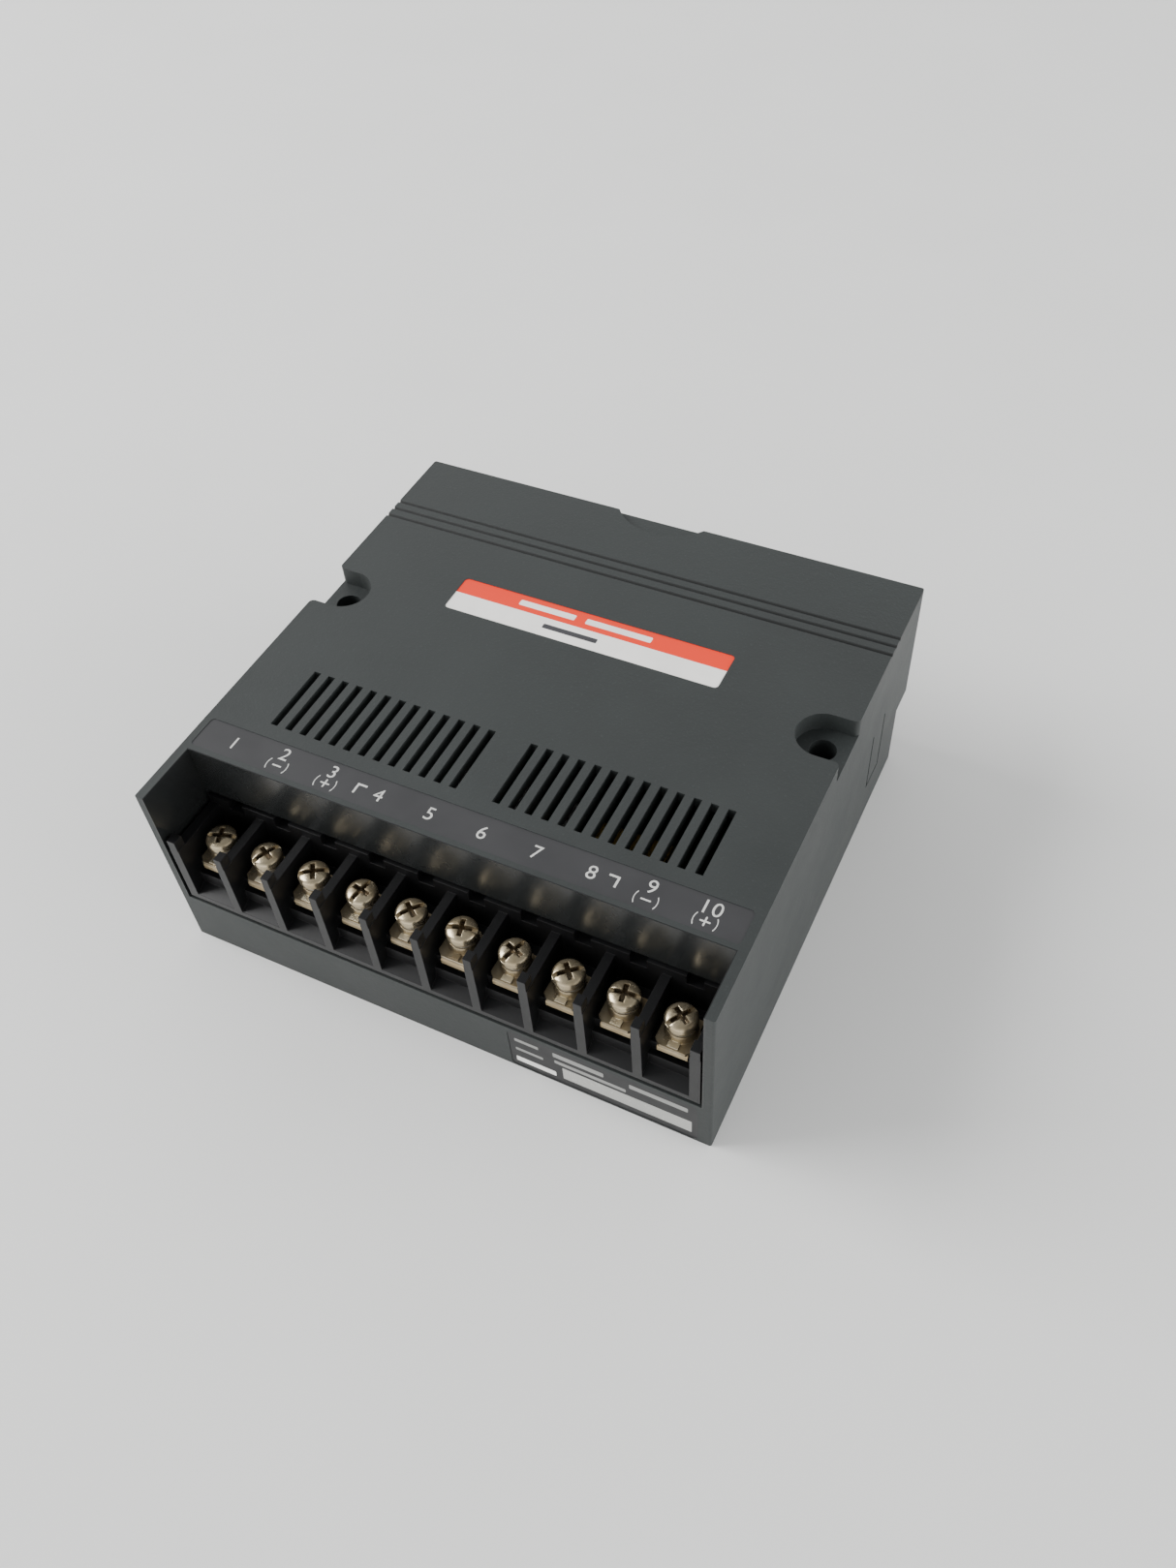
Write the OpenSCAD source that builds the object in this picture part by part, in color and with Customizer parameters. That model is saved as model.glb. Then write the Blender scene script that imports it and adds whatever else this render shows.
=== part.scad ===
// Expansion module of a programmable controller: a flat snap-together case with a row of screw
// terminals along its open front edge, two mounting holes in side pockets, and a circuit board.
// Millimetres, +Z up. The origin is the middle of the footprint, on the mounting face.
// +X runs along the terminal row and +Y towards the rear.

/* [Case] */
// Width of the case along the terminal row
case_w = 105; // [104:0.5:112]
// Depth of the case from the terminal front to the rear wall
case_d = 100; // [98:1:120]
// Height of the case
case_h = 40; // [39:0.5:44]
// Thickness of the side, front and rear walls
wall = 1.8; // [1.6:0.1:2.0]
// Thickness of the top panel
top_t = 2.2; // [2:0.1:2.6]
// Radius of the upright outer corners
corner_r = 0.45; // [0.3:0.05:1]
// Depth of the undercut along the bottom of the rear wall
rear_step_d = 6.1; // [4:0.1:8]
// Height of the undercut along the bottom of the rear wall
rear_step_h = 13.7; // [13.2:0.1:15]
// Height of the low wall in front of the terminal block
front_wall_h = 12.3; // [11.6:0.1:12.4]

/* [Terminal row] */
// Distance from the front plane to the smooth upright wall behind the screws
bay_d = 12.4; // [12.2:0.1:13]
// Height of the lower edge of that wall
bay_wall_z = 29.3; // [29:0.1:31]
// Number of screw terminals
terminals = 10; // [4:1:10]
// Thickness of a barrier between two terminals
barrier_t = 1.7; // [1.4:0.1:2]
// Thickness of the first and last barrier
end_barrier_t = 1.9; // [1.6:0.1:2.2]
// Length of the terminal block
block_w = 100.3; // [99:0.1:100.5]
// Height of the barrier tops
barrier_z = 26.8; // [26:0.1:28]
// Height of the small tab at the front of each barrier
tab_z = 29.1; // [28:0.1:29.2]

/* [Terminal screws] */
// Distance from the front plane to the screw axes
screw_y = 6.6; // [6.4:0.1:6.8]
// Diameter of the screw heads
head_d = 5.5; // [5:0.1:5.6]
// Diameter of the screw thread
thread_d = 2.92; // [2.9:0.01:2.96]
// Height of the underside of the heads, as left loosened
head_z = 24.4; // [24:0.1:24.6]
// Height of the head from its underside to the crown
head_h = 2; // [1.6:0.1:2.2]

/* [Mounting] */
// Distance between the two mounting holes
mount_spacing = 96; // [95.5:0.1:96.5]
// Diameter of the mounting holes
mount_hole_d = 4.8; // [4.3:0.1:5]
// Radius of the round end of the side pockets
pocket_r = 4.95; // [4.6:0.05:5.1]
// Depth of the side pockets below the top
pocket_depth = 3.8; // [3:0.1:4.5]

/* [Hidden] */
$fn = 48;
cut = 1;

// nodes
moving_names = ["lock_washer", "terminal_screw", "clamp_plate"];
fixed_names = [
    "top_cover", "base_plate", "terminal_block", "strip_label", "function_label", "type_label",
    "main_board", "board_screws", "expansion_connector", "connector_pins", "power_transformer",
    "filter_capacitor_1", "filter_capacitor_2", "choke_coil", "voltage_regulator",
    "controller_chip", "converter_chips", "optocouplers", "crystal"
];

// case, measured from the front left bottom corner
top_inner_z = case_h - top_t;
bay_wall_t = 1.6;
cavity_y0 = bay_d + bay_wall_t;
lower_rear_y = case_d - rear_step_d;
vent_slots = 13;
vent_pitch = 3;
vent_w = 1.4;
vent_y0 = 23.1;
vent_l = 13.95;
vent_group_w = (vent_slots - 1) * vent_pitch + vent_w;
vent_margin = 11.7;
groove_rows = [81, 83.3, 85.5];
groove_w = 0.9;
groove_depth = 0.6;
thumb_w = 18.2;
thumb_reach = 4.5;
thumb_depth = 0.9;
thumb_x = 51.9;
thumb_r = (thumb_w * thumb_w / 4 + thumb_reach * thumb_reach) / (2 * thumb_reach);

// labels: a film in a shallow recess
film_t = 0.15;
recess_t = 0.25;
strip_x0 = 1.4;
strip_w = case_w - 3.1;
strip_y0 = 13.6;
strip_l = 6.6;
function_x0 = 24.6;
function_w = 55.2;
function_y0 = 61.3;
function_l = 8.7;
type_x0 = case_w - 37.2;
type_w = 34.7;
type_z0 = 0.4;
type_h = 10.8;
label_r = 0.8;

// mounting pockets and bosses
mount_y = 58.25;
mount_x = (case_w - mount_spacing) / 2;
mount_hole_r = mount_hole_d / 2;
pocket_z = case_h - pocket_depth;
boss_r = 4.2;
mouth_r = 1;

// snap tongue in each side wall, and the hook of the base that it holds
tongue_y0 = 76.1;
tongue_w = 7.1;
tongue_z0 = 8.9;
tongue_h = 14.2;
slit = 0.5;
catch_y0 = 77.6;
catch_w = 4.1;
catch_z0 = 10;
catch_h = 2.4;
catch_depth = 0.8;

// base and circuit board
base_t = 2;
base_gap = 0.2;
board_z0 = 3.6;
board_t = 1.6;
board_top = board_z0 + board_t;
board_x0 = 4;
board_w = case_w - 2 * board_x0;
board_y0 = 4;
board_l = 86;
post_r = 3.2;
post_at = [[10, 26], [case_w - 10, 26], [10, 84], [case_w - 10, 84]];
board_screw_r = 1.25;
board_screw_depth = 2.5;

// terminal block, in the same corner frame
row_shift = 0.2;
block_x0 = (case_w - block_w) / 2 + row_shift;
cell_w = (block_w - 2 * end_barrier_t - (terminals - 1) * barrier_t) / terminals;
pitch = cell_w + barrier_t;
block_y0 = 0.1;
block_y1 = 19;
face_y = 2.5;
rim_z0 = 13.1;
rim_h = 1.25;
floor_rear_z = 15.4;
face_top_z = 18.2;
seat_y = 3.65;
seat_z = 20.3;
rear_wall_y = 12;
rear_wall_t = 1.8;
rear_wall_z = 28.6;
rear_body_z = 22;
notch_w = 3;
notch_depth = 2.1;
tab_d = 2;
tab_inset = 0.1;

// terminal metal
plate_w = 5.3;
plate_y0 = 2.75;
plate_y1 = 9.8;
plate_t = 0.9;
plate_top = seat_z + plate_t;
lip_z = 19.9;
nut_r = 2.3;
nut_z = 17.5;
leg_w = 2.5;
leg_t = 0.8;
leg_z = 2.6;
bore_r = 1.5;
shaft_room = 0.4;
clamp_w = 6.5;
clamp_front = 3.95;
clamp_rear = 2.9;
clamp_t = 0.75;
clamp_corner = 1;
clamp_ridge_w = 1.9;
clamp_ridge_l = 1.15;
clamp_ridge_h = 0.35;
clamp_cup_h = 2.35;
clamp_cup_r0 = 2.85;
clamp_cup_r1 = 2.5;
clamp_hole_r = 1.85;

// terminal screw
thread_r = thread_d / 2;
thread_l = 6.4;
thread_top = head_z - 3.6;
neck_r = 1.4;
head_r = head_d / 2;
head_rim_h = 1.1;
slot_w = 0.85;
slot_depth = 0.9;
cross_l = 3.4;
cross_depth = 1.5;
slot_turn = [20, 64, 33, 78, 52, 15, 70, 41, 8, 55];
// how much higher or lower each screw was left
screw_lift = [0, 0, 0, 0, 0, 0.5, 0, 0, 0, 0];
rest_gap = 0.05;
lock_t = 0.7;
lock_r = 2.4;
lock_hole_r = 1.65;
lock_split = 0.35;

// expansion connector behind an opening under the rear overhang
conn_w = 33.2;
conn_l = 9.4;
conn_h = 8.3;
conn_wall = 1.1;
conn_y1 = lower_rear_y - wall;
conn_x0 = (case_w - conn_w) / 2;
conn_floor = 2.2;
pin_cols = 10;
pin_pitch = 2.54;
pin_s = 0.64;

function cell_x(i) = block_x0 + end_barrier_t + cell_w / 2 + (i - 1) * pitch;

module in_frame() {
    translate([-case_w / 2, -case_d / 2, 0]) children();
}

module rounded_plan(w, l, r) {
    translate([r, 0]) square([w - 2 * r, l]);
    translate([0, r]) square([w, l - 2 * r]);
    for (x = [r, w - r], y = [r, l - r]) translate([x, y]) circle(r);
}

module film(w, l, t) {
    linear_extrude(t) rounded_plan(w, l, label_r);
}

module both_sides() {
    children();
    translate([case_w, 0, 0]) mirror([1, 0, 0]) children();
}

// ---- case ----

module cover_outside() {
    translate([0, 0, rear_step_h]) linear_extrude(case_h - rear_step_h)
        rounded_plan(case_w, case_d, corner_r);
    linear_extrude(rear_step_h) rounded_plan(case_w, lower_rear_y, corner_r);
}

module cover_inside() {
    inner_w = case_w - 2 * wall;
    translate([wall, cavity_y0, rear_step_h + wall])
        cube([inner_w, case_d - wall - cavity_y0, top_inner_z - rear_step_h - wall]);
    translate([wall, wall, -cut]) cube([inner_w, lower_rear_y - 2 * wall, bay_wall_z + cut]);
    translate([wall, -cut, front_wall_h]) cube([inner_w, bay_d + cut, case_h]);
}

module pocket_plan(r) {
    translate([mount_x, mount_y]) circle(r);
    translate([-cut, mount_y - r]) square([mount_x + cut, 2 * r]);
}

module pocket_mouth() {
    for (side = [-1, 1]) translate([0, mount_y + side * pocket_r]) difference() {
        translate([-cut, side > 0 ? -cut : -mouth_r]) square([mouth_r + cut, mouth_r + cut]);
        translate([mouth_r, side * mouth_r]) circle(mouth_r);
    }
}

module pocket_cut() {
    translate([0, 0, pocket_z]) linear_extrude(pocket_depth + cut) {
        pocket_plan(pocket_r);
        pocket_mouth();
    }
    translate([mount_x, mount_y, -cut]) cylinder(h = case_h, r = mount_hole_r);
}

module pocket_body() {
    floor_z = pocket_z - wall;
    intersection() {
        translate([0, 0, floor_z]) linear_extrude(top_inner_z - floor_z) pocket_plan(pocket_r + wall);
        translate([wall / 2, 0, 0]) cube([case_w, case_d, case_h]);
    }
    translate([mount_x, mount_y, 0]) cylinder(h = floor_z + wall / 2, r = boss_r);
}

module vent_cuts() {
    for (x0 = [vent_margin, case_w - vent_margin - vent_group_w], i = [0:vent_slots - 1])
        translate([x0 + i * vent_pitch, vent_y0, top_inner_z - cut])
            cube([vent_w, vent_l, top_t + 2 * cut]);
}

module groove_cuts() {
    for (y = groove_rows) translate([-cut, y, case_h]) rotate([90, 0, 90])
        linear_extrude(case_w + 2 * cut)
            polygon([[-groove_w / 2, 0], [-groove_w / 2, cut], [groove_w / 2, cut], [groove_w / 2, 0],
                [0, -groove_depth]]);
}

module thumb_cut() {
    translate([thumb_x, case_d - thumb_reach + thumb_r, case_h - thumb_depth])
        cylinder(h = thumb_depth + cut, r = thumb_r, $fn = 96);
}

module label_cuts() {
    translate([strip_x0, strip_y0, case_h - recess_t]) film(strip_w, strip_l, recess_t + cut);
    translate([function_x0, function_y0, case_h - recess_t])
        film(function_w, function_l, recess_t + cut);
    translate([type_x0, recess_t, type_z0]) rotate([90, 0, 0]) film(type_w, type_h, recess_t + cut);
}

module tongue_cuts() {
    for (y = [tongue_y0, tongue_y0 + tongue_w - slit])
        translate([-cut, y, tongue_z0]) cube([wall + 2 * cut, slit, tongue_h]);
    translate([-cut, tongue_y0, tongue_z0]) cube([wall + 2 * cut, tongue_w, slit]);
    translate([wall - catch_depth, catch_y0, catch_z0]) cube([catch_depth + cut, catch_w, catch_h]);
}

module connector_opening() {
    margin = 0.3;
    translate([conn_x0 - margin, lower_rear_y - wall - cut, board_top - margin])
        cube([conn_w + 2 * margin, wall + 2 * cut, rear_step_h - board_top + margin]);
}

module top_cover() {
    color("dimgray") in_frame() difference() {
        union() {
            difference() {
                cover_outside();
                cover_inside();
            }
            both_sides() pocket_body();
        }
        both_sides() pocket_cut();
        both_sides() tongue_cuts();
        vent_cuts();
        groove_cuts();
        thumb_cut();
        label_cuts();
        connector_opening();
    }
}

module base_hook() {
    thickness = 1.5;
    nib = 0.7;
    hook_w = catch_w - 0.4;
    translate([wall + base_gap, catch_y0 + 0.2, base_t - 0.5])
        cube([thickness, hook_w, catch_z0 + catch_h - base_t + 1.5]);
    translate([wall + base_gap - nib, catch_y0 + 0.2, catch_z0 + 0.2])
        cube([nib + 0.2, hook_w, catch_h - 0.4]);
}

module base_plate() {
    edge = wall + base_gap;
    rib_h = 3.4;
    rib_t = 1.2;
    color("darkslategray") in_frame() difference() {
        union() {
            translate([edge, edge, 0]) cube([case_w - 2 * edge, lower_rear_y - 2 * edge, base_t]);
            for (p = post_at) translate([p[0], p[1], base_t - 0.5])
                cylinder(h = board_z0 - base_t + 0.5, r = post_r);
            for (y = [edge, lower_rear_y - edge - rib_t]) translate([20, y, base_t - 0.5])
                cube([case_w - 40, rib_t, rib_h - base_t + 0.5]);
            both_sides() base_hook();
        }
        both_sides() translate([mount_x, mount_y, -cut])
            cylinder(h = base_t + 2 * cut, r = boss_r + base_gap);
        for (p = post_at) translate([p[0], p[1], board_top - board_t - board_screw_depth])
            cylinder(h = board_screw_depth + cut, r = board_screw_r + 0.05);
    }
}

// ---- terminal block ----

module block_profile() {
    polygon([
        [face_y, board_top], [face_y, face_top_z], [seat_y, face_top_z], [seat_y, seat_z],
        [rear_wall_y, seat_z], [rear_wall_y, rear_wall_z], [rear_wall_y + rear_wall_t, rear_wall_z],
        [rear_wall_y + rear_wall_t, rear_body_z], [block_y1, rear_body_z], [block_y1, board_top]
    ]);
    polygon([
        [block_y0, rim_z0], [block_y0, rim_z0 + rim_h], [face_y, floor_rear_z],
        [face_y + cut, floor_rear_z], [face_y + cut, rim_z0]
    ]);
}

module along_row(x0, w) {
    translate([x0, 0, 0]) rotate([90, 0, 90]) linear_extrude(w) children();
}

module barrier(x0, t) {
    along_row(x0, t) translate([block_y0, rim_z0])
        square([rear_wall_y + rear_wall_t / 2 - block_y0, barrier_z - rim_z0]);
    along_row(x0 + tab_inset, t - 2 * tab_inset) translate([block_y0, barrier_z - cut])
        square([tab_d, tab_z - barrier_z + cut]);
}

module cell_cuts(i) {
    translate([cell_x(i) - notch_w / 2, rear_wall_y - cut, rear_wall_z - notch_depth])
        cube([notch_w, rear_wall_t + 2 * cut, notch_depth + cut]);
    translate([cell_x(i), screw_y, head_z - 14]) cylinder(h = 14, r = thread_r + shaft_room);
    translate([cell_x(i), screw_y, nut_z - 0.2]) cylinder(h = 14, r = nut_r + 0.1);
    translate([cell_x(i) - leg_w / 2 - 0.1, plate_y1 - leg_t - 0.1, board_top - cut])
        cube([leg_w + 0.2, leg_t + 0.2, seat_z - board_top + 2 * cut]);
}

module terminal_block() {
    color("black") in_frame() difference() {
        union() {
            along_row(block_x0, block_w) block_profile();
            barrier(block_x0, end_barrier_t);
            barrier(block_x0 + block_w - end_barrier_t, end_barrier_t);
            for (i = [1:terminals - 1]) barrier(cell_x(i) + cell_w / 2, barrier_t);
        }
        for (i = [1:terminals]) cell_cuts(i);
    }
}

module terminal_plate(i) {
    color("goldenrod") in_frame() translate([cell_x(i), 0, 0]) difference() {
        union() {
            along_row(-plate_w / 2, plate_w) polygon([
                [plate_y0, lip_z], [plate_y0, plate_top - 0.35], [plate_y0 + 0.35, plate_top],
                [plate_y1, plate_top], [plate_y1, seat_z], [plate_y0 + plate_t, seat_z],
                [plate_y0 + plate_t, lip_z]
            ]);
            translate([0, screw_y, nut_z]) cylinder(h = seat_z - nut_z + 0.2, r = nut_r);
            translate([-leg_w / 2, plate_y1 - leg_t, leg_z]) cube([leg_w, leg_t, plate_top - leg_z]);
        }
        translate([0, screw_y, nut_z - cut]) cylinder(h = plate_top - nut_z + 2 * cut, r = bore_r);
    }
}

module clamp_plate(i) {
    x = clamp_w / 2;
    c = clamp_corner;
    z0 = plate_top + rest_gap + screw_lift[i - 1];
    color("gold") in_frame() translate([cell_x(i), screw_y, z0]) difference() {
        union() {
            linear_extrude(clamp_t) polygon([
                [-x + c, -clamp_front], [x - c, -clamp_front], [x, c - clamp_front], [x, 0.2],
                [x / 2, clamp_rear], [-x / 2, clamp_rear], [-x, 0.2], [-x, c - clamp_front]
            ]);
            cylinder(h = clamp_cup_h, r1 = clamp_cup_r0, r2 = clamp_cup_r1);
            translate([-clamp_ridge_w / 2, -clamp_front + 0.15, 0])
                cube([clamp_ridge_w, clamp_ridge_l, clamp_t + clamp_ridge_h]);
        }
        translate([0, 0, -cut]) cylinder(h = clamp_cup_h + 2 * cut, r = clamp_hole_r);
    }
}

// ---- terminal screw with its lock washer ----

module screw_solid() {
    dome = head_h - head_rim_h;
    rotate_extrude() polygon([
        [0, thread_top - thread_l], [thread_r - 0.5, thread_top - thread_l],
        [thread_r, thread_top - thread_l + 0.5], [thread_r, thread_top - 0.2], [neck_r, thread_top],
        [neck_r, head_z], [head_r - 0.15, head_z], [head_r, head_z + 0.15],
        [head_r, head_z + head_rim_h], [head_r - 0.15, head_z + head_rim_h + dome * 0.35],
        [head_r - 0.5, head_z + head_rim_h + dome * 0.65], [head_r - 1.2, head_z + head_h - dome * 0.1],
        [0, head_z + head_h]
    ]);
}

module drive_cuts() {
    crown = head_z + head_h;
    translate([-head_d, -slot_w / 2, crown - slot_depth]) cube([2 * head_d, slot_w, head_h]);
    translate([-slot_w / 2, -cross_l / 2, crown - cross_depth]) cube([slot_w, cross_l, head_h]);
    translate([-cross_l / 2, -slot_w / 2, crown - cross_depth]) cube([cross_l, slot_w, head_h]);
}

module terminal_screw(i) {
    color("khaki") in_frame() translate([cell_x(i), screw_y, screw_lift[i - 1]])
        rotate([0, 0, slot_turn[i - 1]]) difference() {
            screw_solid();
            drive_cuts();
        }
}

module lock_washer(i) {
    z0 = head_z + screw_lift[i - 1] - lock_t - rest_gap;
    color("silver") in_frame() translate([cell_x(i), screw_y, z0]) difference() {
        cylinder(h = lock_t, r = lock_r);
        translate([0, 0, -cut]) cylinder(h = lock_t + 2 * cut, r = lock_hole_r);
        translate([0, -lock_split / 2, -cut]) cube([head_d, lock_split, lock_t + 2 * cut]);
    }
}

// ---- labels ----

module strip_label() {
    color("gray") in_frame() translate([strip_x0, strip_y0, case_h - recess_t])
        film(strip_w, strip_l, film_t);
}

module function_label() {
    color("tomato") in_frame() translate([function_x0, function_y0, case_h - recess_t])
        film(function_w, function_l, film_t);
}

module type_label() {
    color("lightgray") in_frame() translate([type_x0, recess_t, type_z0]) rotate([90, 0, 0])
        film(type_w, type_h, film_t);
}

// ---- electronics ----

module main_board() {
    color("green") in_frame() difference() {
        translate([board_x0, board_y0, board_z0]) cube([board_w, board_l, board_t]);
        both_sides() translate([mount_x, mount_y, 0]) cylinder(h = case_h, r = boss_r + 0.4);
        for (p = post_at) translate([p[0], p[1], 0]) cylinder(h = case_h, r = board_screw_r + 0.2);
        for (i = [1:terminals])
            translate([cell_x(i) - leg_w / 2 - 0.1, plate_y1 - leg_t - 0.1, 0])
                cube([leg_w + 0.2, leg_t + 0.2, case_h]);
    }
}

module board_screws() {
    color("silver") in_frame() for (p = post_at) translate([p[0], p[1], 0]) difference() {
        union() {
            translate([0, 0, board_z0 - board_screw_depth + 0.2])
                cylinder(h = board_screw_depth + board_t + 0.5, r = board_screw_r);
            translate([0, 0, board_top]) cylinder(h = 1.8, r = 2.6);
        }
        for (turn = [0, 90]) rotate([0, 0, turn]) translate([-1.5, -0.35, board_top + 0.8])
            cube([3, 0.7, 2]);
    }
}

module expansion_connector() {
    color("darkslategray") in_frame() translate([conn_x0, conn_y1 - conn_l, board_top]) difference() {
        cube([conn_w, conn_l, conn_h]);
        translate([conn_wall, conn_floor, conn_wall])
            cube([conn_w - 2 * conn_wall, conn_l, conn_h - 2 * conn_wall]);
        translate([conn_w / 2 - 2.2, conn_floor, conn_h - 2 * conn_wall]) cube([4.4, conn_l, 4]);
        for (col = [0:pin_cols - 1], row = [-0.5, 0.5])
            translate([pin_x(col) - pin_s / 2, -cut, conn_h / 2 + row * pin_pitch - pin_s / 2])
                cube([pin_s, conn_l, pin_s]);
    }
}

function pin_x(col) = conn_w / 2 + (col - (pin_cols - 1) / 2) * pin_pitch;

module connector_pins() {
    tail = 1.3;
    color("gold") in_frame() translate([conn_x0, conn_y1 - conn_l, board_top])
        for (col = [0:pin_cols - 1], row = [-0.5, 0.5]) {
            z = conn_h / 2 + row * pin_pitch;
            back = tail + (row + 0.5) * pin_pitch;
            translate([pin_x(col) - pin_s / 2, 0, 0]) {
                translate([0, -back, z - pin_s / 2]) cube([pin_s, conn_l - 1.6 + back, pin_s]);
                translate([0, -back, 0]) cube([pin_s, pin_s, z]);
            }
        }
}

module power_transformer() {
    color("saddlebrown") in_frame() translate([62, 26, board_top]) {
        cube([20, 17, 3]);
        translate([2, 1, 3]) cube([16, 15, 10]);
        translate([0, 3.5, 3]) cube([20, 10, 8]);
    }
}

module can_capacitor(x, y, r, h) {
    color("navy") in_frame() translate([x, y, board_top]) difference() {
        cylinder(h = h, r = r);
        translate([0, 0, h * 0.12]) rotate_extrude()
            polygon([[r + cut, -0.5], [r - 0.35, 0], [r + cut, 0.5]]);
        for (turn = [0, 60, 120]) translate([0, 0, h]) rotate([0, 0, turn])
            cube([1.5 * r, 0.3, 0.3], center = true);
    }
}

module choke_coil() {
    color("darkolivegreen") in_frame() translate([91, 40, board_top]) difference() {
        cylinder(h = 9, r = 4.8);
        translate([0, 0, 1.5]) difference() {
            cylinder(h = 6, r = 6);
            translate([0, 0, -cut]) cylinder(h = 8, r = 4.1);
        }
    }
}

module voltage_regulator() {
    color("dimgray") in_frame() translate([87, 51, board_top]) {
        translate([0, 0, 1.2]) cube([10, 4.5, 7.8]);
        translate([0, 3.2, 9]) difference() {
            cube([10, 1.3, 6]);
            translate([5, -cut, 3]) rotate([-90, 0, 0]) cylinder(h = 4, r = 1.7);
        }
        for (k = [-1:1]) translate([4.6 + 2.54 * k, 0.3, 0]) cube([0.8, 0.5, 1.4]);
    }
}

module leg_row(legs, leg_pitch) {
    for (k = [0:legs - 1]) translate([(k - (legs - 1) / 2) * leg_pitch - 0.2, -1, 0])
        cube([0.4, 1.3, 0.35]);
}

module flat_chip(w, l, h, legs, leg_pitch) {
    translate([0, 0, 0.1]) cube([w, l, h]);
    translate([w / 2, 0, 0]) leg_row(legs, leg_pitch);
    translate([w / 2, l, 0]) mirror([0, 1, 0]) leg_row(legs, leg_pitch);
}

module controller_chip() {
    side = 14;
    color("black") in_frame() translate([44, 58, board_top]) {
        flat_chip(side, side, 1.6, 12, 1);
        translate([0, side / 2, 0]) rotate([0, 0, -90]) leg_row(12, 1);
        translate([side, side / 2, 0]) rotate([0, 0, 90]) leg_row(12, 1);
    }
}

module converter_chips() {
    color("black") in_frame() for (x = [22, 44]) translate([x, 30, board_top])
        flat_chip(10.3, 7.5, 2.2, 8, 1.27);
}

module optocouplers() {
    color("white") in_frame() for (k = [0:3]) translate([20 + 11 * k, 44, board_top]) {
        translate([0, 0, 0.5]) cube([4.6, 6.5, 3.4]);
        for (x = [0.8, 3.3], y = [-0.6, 6.6]) translate([x, y, 0]) cube([0.5, 0.5, 1.5]);
        translate([0.8, -0.6, 1.5]) cube([3, 7.7, 0.3]);
    }
}

module crystal() {
    color("silver") in_frame() translate([66, 64, board_top]) {
        cube([6, 3.6, 3.4]);
        translate([0, 1.8, 0]) cylinder(h = 3.4, r = 1.8);
        translate([6, 1.8, 0]) cylinder(h = 3.4, r = 1.8);
    }
}

// ---- output ----

top_cover();
base_plate();
terminal_block();
strip_label();
function_label();
type_label();
main_board();
board_screws();
expansion_connector();
connector_pins();
power_transformer();
can_capacitor(18, 76, 5, 16);  // filter_capacitor_1
can_capacitor(30, 76, 4, 12);  // filter_capacitor_2
choke_coil();
voltage_regulator();
controller_chip();
converter_chips();
optocouplers();
crystal();
for (i = [1:terminals]) {
    terminal_plate(i);
    clamp_plate(i);
    terminal_screw(i);
    lock_washer(i);
}
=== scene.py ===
import math

import bmesh
import bpy
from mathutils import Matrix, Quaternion, Vector


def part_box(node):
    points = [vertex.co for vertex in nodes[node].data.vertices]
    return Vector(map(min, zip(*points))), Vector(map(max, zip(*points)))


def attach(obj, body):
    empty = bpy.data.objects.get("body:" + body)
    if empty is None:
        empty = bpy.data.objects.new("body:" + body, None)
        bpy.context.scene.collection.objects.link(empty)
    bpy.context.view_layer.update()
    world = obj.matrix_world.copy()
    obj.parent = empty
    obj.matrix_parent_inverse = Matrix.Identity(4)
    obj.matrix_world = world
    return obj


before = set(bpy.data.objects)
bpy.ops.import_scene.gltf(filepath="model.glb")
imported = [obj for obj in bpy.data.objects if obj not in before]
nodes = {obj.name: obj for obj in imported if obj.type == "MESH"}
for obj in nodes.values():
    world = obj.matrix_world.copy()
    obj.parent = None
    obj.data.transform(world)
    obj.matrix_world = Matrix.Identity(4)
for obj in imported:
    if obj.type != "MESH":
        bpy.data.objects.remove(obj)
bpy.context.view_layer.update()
MM = 0.001
TERMINALS = sorted(int(n.rsplit("_", 1)[1]) for n in nodes if n.startswith("terminal_screw_"))


# ---------------------------------------------------------------- shader helpers


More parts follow.
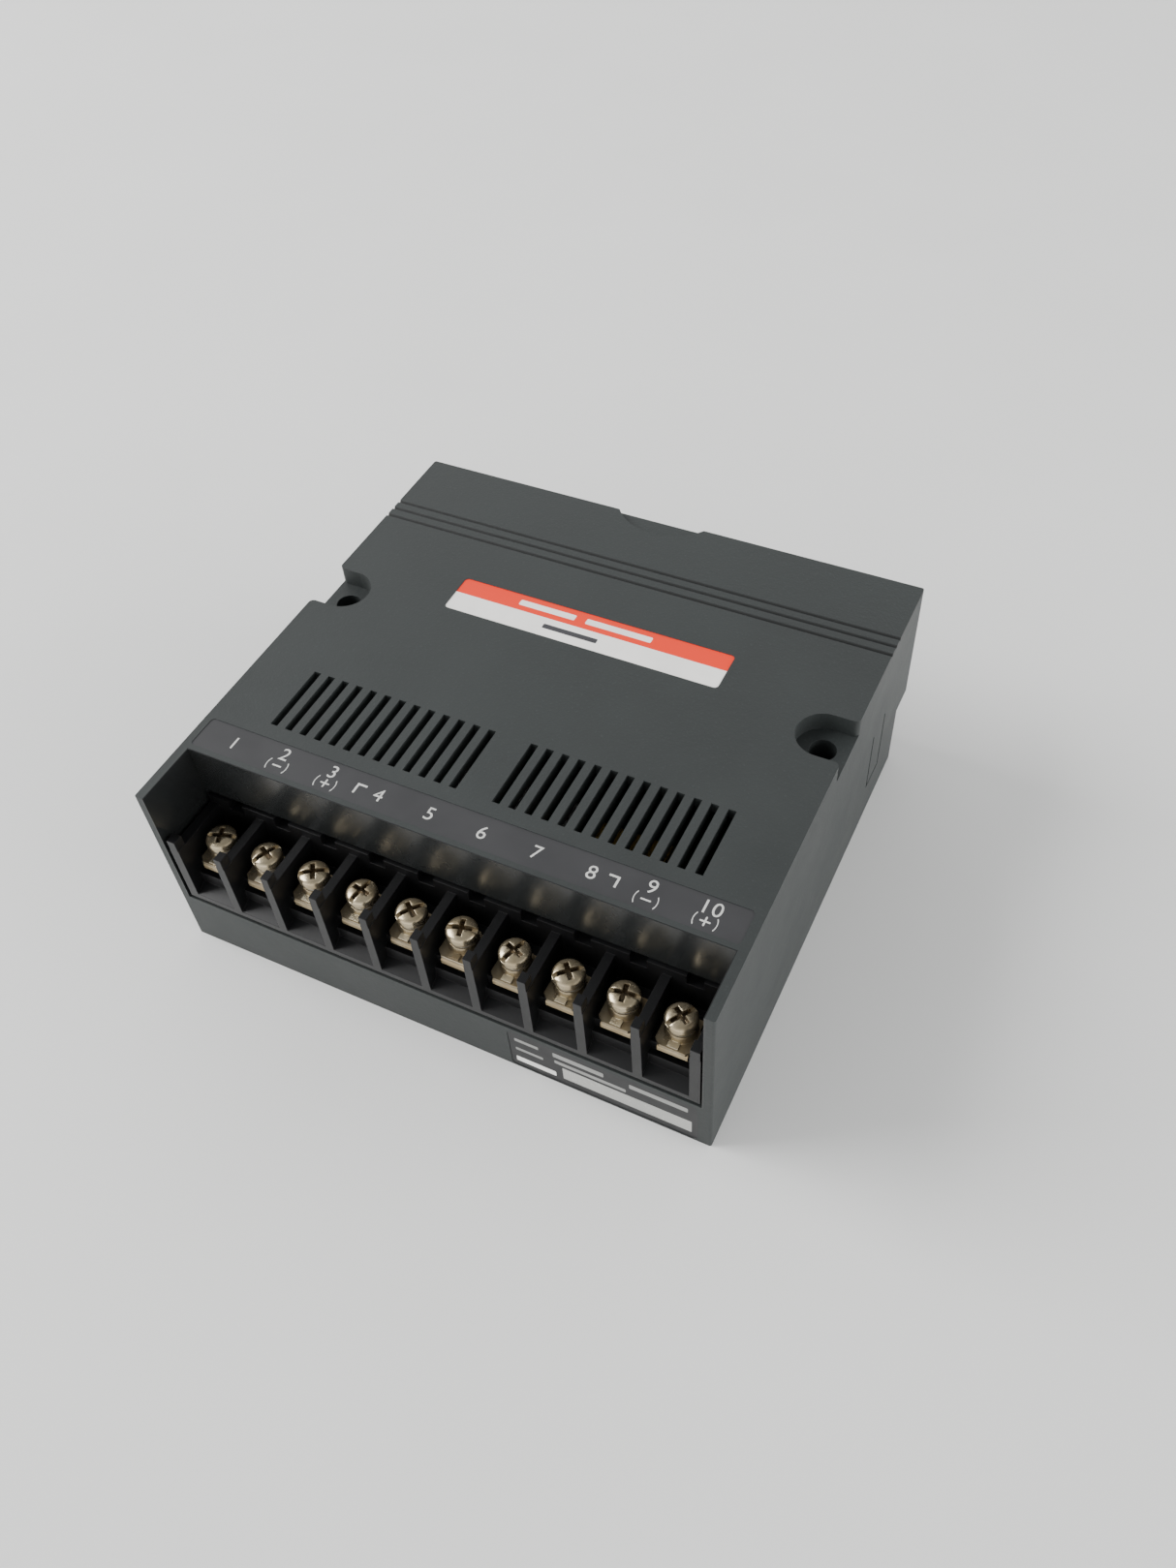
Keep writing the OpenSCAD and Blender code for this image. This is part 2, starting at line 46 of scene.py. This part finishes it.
class Shader:
    """One material, built node by node around a Principled BSDF."""

    def __init__(self, name, colour, roughness, metallic=0.0):
        self.mat = bpy.data.materials.new(name)
        self.mat.use_nodes = True
        self.tree = self.mat.node_tree
        self.bsdf = self.tree.nodes["Principled BSDF"]
        self.set(Roughness=roughness, Metallic=metallic)
        self.bsdf.inputs["Base Color"].default_value = (*colour, 1)
        self.mat.diffuse_color = (*colour, 1)
        self.where = self.add("ShaderNodeTexCoord").outputs["Object"]

    def add(self, kind, **values):
        node = self.tree.nodes.new(kind)
        for key, value in values.items():
            setattr(node, key, value)
        return node

    def link(self, a, b):
        self.tree.links.new(a, b)

    def set(self, **values):
        for key, value in values.items():
            self.bsdf.inputs[key.replace("_", " ")].default_value = value

    def noise(self, size_mm, detail=3.0, rough=0.55, stretch=(1, 1, 1)):
        mapping = self.add("ShaderNodeMapping")
        mapping.inputs["Scale"].default_value = stretch
        self.link(self.where, mapping.inputs["Vector"])
        node = self.add("ShaderNodeTexNoise")
        node.inputs["Scale"].default_value = 1 / (size_mm * MM)
        node.inputs["Detail"].default_value = detail
        node.inputs["Roughness"].default_value = rough
        self.link(mapping.outputs["Vector"], node.inputs["Vector"])
        return node.outputs["Fac"]

    def span(self, value, low, high, to_low=0.0, to_high=1.0):
        node = self.add("ShaderNodeMapRange")
        node.inputs["From Min"].default_value = low
        node.inputs["From Max"].default_value = high
        node.inputs["To Min"].default_value = to_low
        node.inputs["To Max"].default_value = to_high
        self.link(value, node.inputs["Value"])
        return node.outputs["Result"]

    def math(self, operation, a, b=None):
        node = self.add("ShaderNodeMath", operation=operation)
        for slot, value in zip(node.inputs, (a, b)):
            if value is None:
                continue
            if isinstance(value, (int, float)):
                slot.default_value = value
            else:
                self.link(value, slot)
        return node.outputs[0]

    def axis(self, name):
        node = self.add("ShaderNodeSeparateXYZ")
        self.link(self.where, node.inputs[0])
        return node.outputs[name]

    def times(self, *values):
        product = values[0]
        for value in values[1:]:
            product = self.math("MULTIPLY", product, value)
        return product

    def colour_so_far(self):
        return self.bsdf.inputs["Base Color"].links[0].from_socket

    def mix(self, factor, a, b):
        node = self.add("ShaderNodeMix", data_type="RGBA")
        self.link(factor, node.inputs["Factor"])
        for slot, value in ((node.inputs[6], a), (node.inputs[7], b)):
            if isinstance(value, tuple):
                slot.default_value = (*value, 1)
            else:
                self.link(value, slot)
        return node.outputs[2]

    def paint(self, colour):
        self.link(colour, self.bsdf.inputs["Base Color"])

    def rough(self, value):
        self.link(value, self.bsdf.inputs["Roughness"])

    def bump(self, *layers):
        """Each layer is (height, depth in mm)."""
        normal = None
        for height, depth in layers:
            node = self.add("ShaderNodeBump")
            node.inputs["Strength"].default_value = 1.0
            node.inputs["Distance"].default_value = depth * MM
            self.link(height, node.inputs["Height"])
            if normal is not None:
                self.link(normal, node.inputs["Normal"])
            normal = node.outputs["Normal"]
        self.link(normal, self.bsdf.inputs["Normal"])


def shade(colour, k):
    return tuple(min(1.0, c * k) for c in colour)


def moulded(name, colour, roughness, grain_mm=0.35, grain_depth=0.012, spread=0.12, specular=0.5):
    """Injection moulded plastic: eroded grain, faint cloudiness and a little dust."""
    s = Shader(name, colour, roughness)
    s.set(Specular_IOR_Level=specular)
    grain = s.noise(grain_mm, 2.0, 0.6)
    pits = s.noise(grain_mm * 2.6, 2.0, 0.5)
    cloud = s.noise(22, 4.0, 0.6)
    base = s.mix(s.span(cloud, 0.3, 0.7), shade(colour, 1 - spread), shade(colour, 1 + spread))
    flecks = s.span(grain, 0.6, 0.78)
    s.paint(s.mix(s.times(flecks, 0.5), base, shade(colour, 2.0)))
    s.rough(s.span(cloud, 0.3, 0.7, roughness - 0.05, roughness + 0.07))
    s.bump((grain, grain_depth), (pits, grain_depth * 0.8))
    return s


def plated(name, colour, roughness, tarnish, scratch_depth=0.0012, grain_mm=0.4):
    """Plated metal: soft tarnish clouds, fine drawn lines and handling scratches."""
    s = Shader(name, colour, roughness, METALNESS)
    cloud = s.noise(3.2, 2.0, 0.5)
    lines = s.noise(0.5, 2.0, 0.5, stretch=(0.15, 3.0, 1.0))
    grain = s.noise(grain_mm, 2.0, 0.6)
    base = s.mix(s.span(cloud, 0.38, 0.72), colour, tarnish)
    s.paint(s.mix(s.span(lines, 0.62, 0.8), base, shade(colour, 1.15)))
    s.rough(s.span(cloud, 0.3, 0.75, roughness - 0.06, roughness + 0.10))
    s.bump((grain, scratch_depth * 0.6), (lines, scratch_depth))
    return s


# ---------------------------------------------------------------- materials

CASE = (0.0195, 0.0232, 0.0228)
CASE_SMOOTH = (0.012, 0.013, 0.013)
PAINTED_GROOVE_SHADE = (0.002, 0.002, 0.002)
METALNESS = 0.87

# where the terminal bay's smooth walls are, and the sunken grooves behind the labels, whose floors
# get painted shade
BAY_BACK = -37.4 * MM
BAY_HALF_WIDTH = 50.85 * MM
BAY_FLOOR = 12.5 * MM
GROOVES_FROM = 22 * MM
GROOVE_TOP, GROOVE_BOTTOM = 0.12 * MM, 0.9 * MM


def case_material():
    """Grained dark grey case; its bay walls are left smooth and glossy by the mould, and the floors
    of its sunken grooves get painted shade.
    """
    s = moulded("case_plastic", CASE, 0.55, 0.5, 0.035, 0.1, 0.42)
    x, y, z = (s.axis(a) for a in "XYZ")
    behind_bay = s.math("LESS_THAN", y, BAY_BACK)
    inside = s.math("LESS_THAN", s.math("ABSOLUTE", x), BAY_HALF_WIDTH)
    above = s.math("GREATER_THAN", z, BAY_FLOOR)
    smooth = s.times(behind_bay, s.times(inside, above))
    grained = s.colour_so_far()
    grained_rough = s.bsdf.inputs["Roughness"].links[0].from_socket
    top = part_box("top_cover")[1].z
    # painted shade: the floors of the sunken grooves behind the labels are darkened towards near
    # black
    below_top = s.math("LESS_THAN", z, top - GROOVE_TOP)
    above_bottom = s.math("GREATER_THAN", z, top - GROOVE_BOTTOM)
    groove_shade_mask = s.times(below_top, above_bottom, s.math("GREATER_THAN", y, GROOVES_FROM))
    with_groove_shade = s.mix(s.times(groove_shade_mask, 0.75), grained, PAINTED_GROOVE_SHADE)
    s.paint(s.mix(smooth, with_groove_shade, CASE_SMOOTH))
    keep = s.math("SUBTRACT", 1.0, smooth)
    polish = s.span(s.noise(9, 3.0), 0.3, 0.7, 0.19, 0.3)
    s.rough(s.math("ADD", s.times(grained_rough, keep), s.times(polish, smooth)))
    for node in s.tree.nodes:
        if node.bl_idname == "ShaderNodeBump":
            s.link(keep, node.inputs["Strength"])
    return s.mat


def film(name, colour, roughness):
    """Printed label film: faint cloudiness over a fine weave."""
    s = Shader(name, colour, roughness)
    s.set(Specular_IOR_Level=0.3)
    weave = s.noise(0.5, 2.0, 0.5)
    cloud = s.noise(12, 3.0, 0.6)
    s.paint(s.mix(s.span(cloud, 0.3, 0.7), shade(colour, 0.93), shade(colour, 1.06)))
    s.rough(s.span(cloud, 0.3, 0.7, roughness - 0.06, roughness + 0.08))
    s.bump((weave, 0.004))
    return s


WHITE_SHARE = 0.54  # of the label's depth, from its front edge


def function_material():
    """Label with a white front band and an orange rear band."""
    orange, white = (0.80, 0.036, 0.010), (0.86, 0.845, 0.81)
    s = film("function_film", white, 0.42)
    low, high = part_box("function_label")
    line = low.y + WHITE_SHARE * (high.y - low.y)
    band = s.math("GREATER_THAN", s.axis("Y"), line)
    s.paint(s.mix(band, s.colour_so_far(), orange))
    return s.mat


def board_material():
    s = Shader("circuit_board", (0.012, 0.075, 0.035), 0.35)
    weave = s.noise(0.8, 2.0, 0.5)
    tracks = s.noise(5.0, 1.0, 0.3, stretch=(0.3, 1.4, 1))
    lines = s.span(s.math("PINGPONG", s.times(tracks, 12.0), 1.0), 0.4, 0.6)
    s.paint(s.mix(lines, (0.010, 0.060, 0.028), (0.016, 0.105, 0.048)))
    s.rough(s.span(weave, 0.3, 0.7, 0.28, 0.42))
    s.bump((lines, 0.03), (weave, 0.01))
    return s.mat


def winding_material():
    s = Shader("taped_winding", (0.42, 0.27, 0.05), 0.35)
    wraps = s.noise(3.0, 1.0, 0.4, stretch=(0.1, 0.1, 2.5))
    s.paint(s.mix(s.span(wraps, 0.4, 0.6), (0.42, 0.27, 0.05), (0.50, 0.35, 0.08)))
    s.rough(s.span(wraps, 0.3, 0.7, 0.25, 0.45))
    s.bump((wraps, 0.05))
    return s.mat


def sleeve_material():
    s = Shader("can_sleeve", (0.012, 0.018, 0.075), 0.28)
    cloud = s.noise(4, 3.0)
    s.paint(s.mix(s.span(cloud, 0.3, 0.7), (0.012, 0.018, 0.075), (0.018, 0.026, 0.1)))
    s.rough(s.span(cloud, 0.3, 0.7, 0.2, 0.36))
    s.bump((cloud, 0.04))
    return s.mat


def terminal_x(i):
    low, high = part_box(f"terminal_screw_{i}")
    return (low.x + high.x) / 2


# reach, depths and colour of the painted shade in the screws' drive slots
SLOT_REACH = 1.9 * MM
SLOT_SHADE_START, SLOT_SHADE_FULL, SLOT_END = 0.3 * MM, 0.6 * MM, 1.8 * MM
PAINTED_SLOT_SHADE = (0.06, 0.036, 0.02)


def screw_material():
    """Plated screw with painted shade in the bottom of its drive slots."""
    s = plated("screw_plating", CHAMPAGNE, 0.26, (0.36, 0.29, 0.18))
    first, last = terminal_x(TERMINALS[0]), terminal_x(TERMINALS[-1])
    pitch = (last - first) / (len(TERMINALS) - 1)
    low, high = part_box("terminal_screw_1")
    cell = s.math("DIVIDE", s.math("SUBTRACT", s.axis("X"), first), pitch)
    across = s.math("FRACT", s.math("ADD", cell, len(TERMINALS) + 0.5))
    dx = s.times(s.math("SUBTRACT", across, 0.5), pitch)
    dy = s.math("SUBTRACT", s.axis("Y"), (low.y + high.y) / 2)
    away = s.math("ADD", s.times(dx, dx), s.times(dy, dy))
    inside = s.math("LESS_THAN", away, SLOT_REACH ** 2)
    depth = s.math("SUBTRACT", high.z, s.axis("Z"))
    # painted shade: the drive slots darken with depth below the head's top
    slot = s.times(inside, s.span(depth, SLOT_SHADE_START, SLOT_SHADE_FULL), s.math("LESS_THAN", depth, SLOT_END))
    s.paint(s.mix(s.times(slot, 0.72), s.colour_so_far(), PAINTED_SLOT_SHADE))
    return s.mat


# the clamp ridge's painted highlight: its height, its reach from the front edge and its colour
RIDGE_HEIGHT = 1.1 * MM
RIDGE_REACH = 1.4 * MM
PAINTED_RIDGE_HIGHLIGHT = (0.88, 0.79, 0.60)


def clamp_material():
    """Plated clamp plate; the top of the pressed ridge at its front edge gets a painted highlight."""
    s = plated("clamp_plating", (0.40, 0.335, 0.225), 0.3, (0.27, 0.21, 0.13))
    low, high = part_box("clamp_plate_1")
    # painted highlight: the ridge's top face near the front edge is painted bright
    level = s.math("ABSOLUTE", s.math("SUBTRACT", s.axis("Z"), low.z + RIDGE_HEIGHT))
    front = s.math("LESS_THAN", s.axis("Y"), low.y + RIDGE_REACH)
    ridge_highlight = s.times(s.span(level, 0.04 * MM, 0.1 * MM, 1.0, 0.0), front)
    s.paint(s.mix(ridge_highlight, s.colour_so_far(), PAINTED_RIDGE_HIGHLIGHT))
    return s.mat


GOLD = (0.50, 0.41, 0.26)
CHAMPAGNE = (0.50, 0.425, 0.295)
INK_ROUGH, INK_GRAIN, INK_DEPTH = 0.5, 0.5, 0.002


def ink(name, colour):
    return moulded(name, colour, INK_ROUGH, INK_GRAIN, INK_DEPTH).mat


materials = {
    "case": case_material(),
    "base": moulded("base_plastic", (0.030, 0.033, 0.033), 0.5, 0.3, 0.016).mat,
    "block": moulded("block_plastic", (0.0050, 0.0050, 0.0054), 0.36, 0.5, 0.004, 0.2, 0.30).mat,
    "strip": film("strip_film", (0.036, 0.036, 0.038), 0.45).mat,
    "function": function_material(),
    "type": film("type_film", (0.014, 0.014, 0.015), 0.42).mat,
    "board": board_material(),
    "winding": winding_material(),
    "sleeve": sleeve_material(),
    "zinc": plated("zinc_steel", (0.62, 0.60, 0.55), 0.34, (0.40, 0.37, 0.31)).mat,
    "screw": screw_material(),
    "plate": plated("plate_plating", GOLD, 0.34, (0.36, 0.27, 0.15)).mat,
    "clamp": clamp_material(),
    "contact": plated("contact_plating", (0.9, 0.66, 0.25), 0.22, (0.7, 0.45, 0.15)).mat,
    "header": moulded("connector_plastic", (0.014, 0.014, 0.015), 0.42, 0.4, 0.008).mat,
    "chip": moulded("chip_epoxy", (0.020, 0.020, 0.022), 0.55, 0.25, 0.01).mat,
    "coupler": moulded("coupler_epoxy", (0.62, 0.61, 0.57), 0.4, 0.4, 0.006).mat,
    "ink": ink("pale_ink", (0.52, 0.52, 0.50)),
    "white_ink": ink("white_ink", (0.85, 0.84, 0.81)),
    "dim_ink": ink("dim_ink", (0.26, 0.26, 0.25)),
    "band_ink": ink("band_ink", (0.40, 0.40, 0.38)),
    "dark_ink": ink("dark_ink", (0.03, 0.03, 0.035)),
}


def coat(obj, material):
    obj.data.materials.clear()
    obj.data.materials.append(material)


MERGE_BELOW = 1e-6
FLAT_WITHIN = math.radians(0.6)
SHARP_ABOVE = math.radians(32)


def soften(obj, width_mm):
    """Rounds a CAD node's sharp edges with modifiers, leaving its mesh as packed."""
    weld = obj.modifiers.new("weld", "WELD")
    weld.merge_threshold = MERGE_BELOW
    merge = obj.modifiers.new("merge", "DECIMATE")
    merge.decimate_type = "DISSOLVE"
    merge.angle_limit = FLAT_WITHIN
    bevel = obj.modifiers.new("round", "BEVEL")
    bevel.width = width_mm * MM
    bevel.segments = 2
    bevel.limit_method = "ANGLE"
    bevel.angle_limit = SHARP_ABOVE
    bevel.use_clamp_overlap = True
    normals = obj.modifiers.new("normals", "WEIGHTED_NORMAL")
    normals.mode = "FACE_AREA"
    normals.weight = 90
    normals.keep_sharp = True


FINISH = {
    "top_cover": ("case", 0.11),
    "base_plate": ("base", 0.12),
    "terminal_block": ("block", 0.1),
    "strip_label": ("strip", 0),
    "function_label": ("function", 0),
    "type_label": ("type", 0),
    "main_board": ("board", 0),
    "board_screws": ("zinc", 0.06),
    "expansion_connector": ("header", 0.06),
    "connector_pins": ("contact", 0.05),
    "power_transformer": ("winding", 0.15),
    "filter_capacitor_1": ("sleeve", 0.2),
    "filter_capacitor_2": ("sleeve", 0.2),
    "choke_coil": ("winding", 0.1),
    "voltage_regulator": ("chip", 0.1),
    "controller_chip": ("chip", 0),
    "converter_chips": ("chip", 0.05),
    "optocouplers": ("coupler", 0.1),
    "crystal": ("zinc", 0.15),
}
for i in TERMINALS:
    FINISH[f"terminal_plate_{i}"] = ("plate", 0.06)
    FINISH[f"terminal_screw_{i}"] = ("screw", 0.07)
    FINISH[f"clamp_plate_{i}"] = ("clamp", 0.09)
    FINISH[f"lock_washer_{i}"] = ("zinc", 0.05)

for name, (finish, width) in FINISH.items():
    coat(nodes[name], materials[finish])
    if width:
        soften(nodes[name], width)


# ---------------------------------------------------------------- printed marks


def mark(name, bm, material):
    """Printed marks made in bm become one piece that rides the case."""
    mesh = bpy.data.meshes.new(name)
    bm.to_mesh(mesh)
    bm.free()
    obj = bpy.data.objects.new(name, mesh)
    bpy.context.scene.collection.objects.link(obj)
    coat(obj, material)
    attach(obj, "case")


INK_T = 0.012 * MM
INK_LIFT = 0.002 * MM  # where two bars cross


def add_bar(bm, cx, cy, w, h, z, place, radius=None):
    """A flat printed bar with rounded ends, from outline points run through place."""
    steps = 4
    r = min(w, h) / 2 if radius is None else radius
    ring = []
    for k, (sx, sy) in enumerate(((1, 1), (-1, 1), (-1, -1), (1, -1))):
        for j in range(steps + 1):
            a = math.radians(90 * k + 90 * j / steps)
            x, y = cx + sx * (w / 2 - r), cy + sy * (h / 2 - r)
            ring.append((x + r * math.cos(a), y + r * math.sin(a)))
    low = [bm.verts.new(place(x, y, z)) for x, y in ring]
    high = [bm.verts.new(place(x, y, z + INK_T)) for x, y in ring]
    bm.faces.new(high)
    bm.faces.new(list(reversed(low)))
    for a in range(len(ring)):
        b = (a + 1) % len(ring)
        bm.faces.new((low[a], low[b], high[b], high[a]))


def add_arc(bm, cx, cy, r, a0, a1, w, z, place):
    """A printed bracket: part of a ring, squeezed along x."""
    steps, squeeze = 10, 0.55
    rows = []
    for j in range(steps + 1):
        a = math.radians(a0 + (a1 - a0) * j / steps)
        row = []
        for rr in (r - w / 2, r + w / 2):
            for h in (z, z + INK_T):
                x, y = cx + rr * math.cos(a) * squeeze, cy + rr * math.sin(a)
                row.append(bm.verts.new(place(x, y, h)))
        rows.append(row)
    for p, q in zip(rows, rows[1:]):
        for a, b in ((0, 1), (1, 3), (3, 2), (2, 0)):
            bm.faces.new((p[a], p[b], q[b], q[a]))
    bm.faces.new((rows[0][0], rows[0][2], rows[0][3], rows[0][1]))
    bm.faces.new((rows[-1][1], rows[-1][3], rows[-1][2], rows[-1][0]))


def flat(x, y, z):
    return Vector((x, y, z))


def numeral(text, x, y, z, size_mm):
    curve = bpy.data.curves.new(f"numeral_{text}", "FONT")
    curve.body = text
    curve.size = size_mm * MM
    curve.align_x = "CENTER"
    curve.align_y = "CENTER"
    curve.extrude = INK_T / 2
    curve.space_character = 1.1
    obj = bpy.data.objects.new(f"numeral_{text}", curve)
    obj.location = (x, y, z + INK_T / 2)
    bpy.context.scene.collection.objects.link(obj)
    curve.materials.append(materials["ink"])
    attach(obj, "case")


NUMERAL_MM = 3.7
SIGN_L, SIGN_T = 1.8 * MM, 0.3 * MM
BRACKET_R, BRACKET_T, BRACKET_OFF, BRACKET_HALF_ANGLE = 1.45 * MM, 0.27 * MM, 1.15 * MM, 52
CORNER_OFF, CORNER_L, CORNER_W, CORNER_T = 4.4 * MM, 2.2 * MM, 1.9 * MM, 0.4 * MM
CORNER_ROUND = 0.05 * MM
SIGNS = {2: "-", 3: "+", 9: "-", 10: "+"}
CORNERS = ((4, 1), (8, -1))


def print_strip():
    """Terminal numbers, the signs under four of them and two corner marks."""
    low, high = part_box("strip_label")
    z = high.z
    upper = low.y + 0.66 * (high.y - low.y)
    lower = low.y + 0.28 * (high.y - low.y)
    middle = (upper + lower) / 2
    for i in TERMINALS:
        numeral(str(i), terminal_x(i), upper if i in SIGNS else middle, z, NUMERAL_MM)
    bm = bmesh.new()
    a = BRACKET_HALF_ANGLE
    for i, sign in SIGNS.items():
        x = terminal_x(i)
        add_bar(bm, x, lower, SIGN_L, SIGN_T, z, flat)
        if sign == "+":
            add_bar(bm, x, lower, SIGN_T, SIGN_L, z + INK_LIFT, flat)
        add_arc(bm, x + BRACKET_OFF, lower, BRACKET_R, -a, a, BRACKET_T, z, flat)
        add_arc(bm, x - BRACKET_OFF, lower, BRACKET_R, 180 - a, 180 + a, BRACKET_T, z, flat)
    for i, side in CORNERS:
        x = terminal_x(i) - side * CORNER_OFF
        add_bar(bm, x, middle, CORNER_T, CORNER_L, z, flat, CORNER_ROUND)
        x, y = x + side * (CORNER_W - CORNER_T) / 2, middle + (CORNER_L - CORNER_T) / 2
        add_bar(bm, x, y, CORNER_W, CORNER_T, z + INK_LIFT, flat, CORNER_ROUND)
    mark("strip_marks", bm, materials["ink"])


def print_function():
    """Bars in place of the function label's words."""
    low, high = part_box("function_label")
    z = high.z
    w, h = high.x - low.x, high.y - low.y
    bm = bmesh.new()
    y = low.y + 0.77 * h
    add_bar(bm, low.x + 0.335 * w, y, 0.21 * w, 0.16 * h, z, flat, 0.25 * MM)
    add_bar(bm, low.x + 0.60 * w, y, 0.24 * w, 0.16 * h, z, flat, 0.25 * MM)
    mark("function_marks", bm, materials["white_ink"])
    bm = bmesh.new()
    add_bar(bm, low.x + 0.455 * w, low.y + 0.30 * h, 0.20 * w, 0.13 * h, z, flat, 0.2 * MM)
    mark("function_submarks", bm, materials["dark_ink"])


def print_type():
    """Bars and a pale writing strip in place of the type label's print."""
    low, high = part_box("type_label")
    front = low.y

    def upright(x, y, z):
        return Vector((x, front - z, y))

    w, h = high.x - low.x, high.z - low.z
    bm = bmesh.new()
    for cx, cz, bw, bh in (
        (0.10, 0.80, 0.13, 0.08), (0.38, 0.81, 0.27, 0.12), (0.80, 0.81, 0.30, 0.12),
        (0.11, 0.53, 0.15, 0.07), (0.44, 0.61, 0.38, 0.09),
    ):
        add_bar(bm, low.x + cx * w, low.z + cz * h, bw * w, bh * h, 0, upright, 0.2 * MM)
    mark("type_marks", bm, materials["dim_ink"])
    bm = bmesh.new()
    add_bar(bm, low.x + 0.14 * w, low.z + 0.21 * h, 0.22 * w, 0.14 * h, 0, upright, 0.2 * MM)
    mark("type_name_bar", bm, materials["white_ink"])
    bm = bmesh.new()
    add_bar(bm, low.x + 0.63 * w, low.z + 0.33 * h, 0.68 * w, 0.33 * h, 0, upright, 0.1 * MM)
    mark("type_strip", bm, materials["band_ink"])


print_strip()
print_function()
print_type()


# ---------------------------------------------------------------- stage, light, camera


def stage_floor():
    bm = bmesh.new()
    bmesh.ops.create_grid(bm, x_segments=1, y_segments=1, size=4.0)
    mesh = bpy.data.meshes.new("floor")
    bm.to_mesh(mesh)
    bm.free()
    obj = bpy.data.objects.new("floor", mesh)
    obj.location.z = -0.02 * MM
    bpy.context.scene.collection.objects.link(obj)
    s = Shader("floor_paint", (0.76, 0.76, 0.75), 0.7)
    cloud = s.noise(60, 3.0)
    s.paint(s.mix(s.span(cloud, 0.3, 0.7), (0.752, 0.752, 0.740), (0.772, 0.772, 0.762)))
    s.rough(s.span(cloud, 0.3, 0.7, 0.62, 0.74))
    s.bump((s.noise(1.5, 2.0), 0.01))
    coat(obj, s.mat)


def area_light(name, place, aim, size, power):
    light = bpy.data.lights.new(name, "AREA")
    light.shape = "RECTANGLE"
    light.size, light.size_y = size
    light.energy = power
    obj = bpy.data.objects.new(name, light)
    obj.location = place
    direction = Vector(aim) - Vector(place)
    obj.rotation_mode = "QUATERNION"
    obj.rotation_quaternion = direction.to_track_quat("-Z", "Y")
    bpy.context.scene.collection.objects.link(obj)


stage_floor()
area_light("key", (-1.45, -0.35, 1.1), (-0.1, 0.1, 0), (1.1, 1.1), 44)
area_light("fill", (1.5, 0.3, 0.4), (0, 0, 0.02), (1.2, 0.8), 17)

world = bpy.data.worlds.new("studio")
bpy.context.scene.world = world
world.use_nodes = True
sky = world.node_tree.nodes["Background"]
sky.inputs["Strength"].default_value = 2.35
place = world.node_tree.nodes.new("ShaderNodeTexCoord")
split = world.node_tree.nodes.new("ShaderNodeSeparateXYZ")
ramp = world.node_tree.nodes.new("ShaderNodeValToRGB")
ramp.color_ramp.elements[0].position = 0.05
ramp.color_ramp.elements[0].color = (1.0, 1.0, 0.99, 1)
ramp.color_ramp.elements[1].position = 0.85
ramp.color_ramp.elements[1].color = (0.18, 0.185, 0.19, 1)
world.node_tree.links.new(place.outputs["Generated"], split.inputs[0])
world.node_tree.links.new(split.outputs["Z"], ramp.inputs["Fac"])
world.node_tree.links.new(ramp.outputs["Color"], sky.inputs["Color"])

camera = bpy.data.cameras.new("camera")
camera.lens = 30.458
camera.sensor_width = 36
camera.sensor_fit = "AUTO"
camera.clip_start = 0.01
eye = bpy.data.objects.new("camera", camera)
eye.location = (0.08693, -0.14035, 0.20599)
eye.rotation_mode = "QUATERNION"
eye.rotation_quaternion = Quaternion((0.915907, 0.330605, 0.103441, 0.20277))
bpy.context.scene.collection.objects.link(eye)
bpy.context.scene.camera = eye
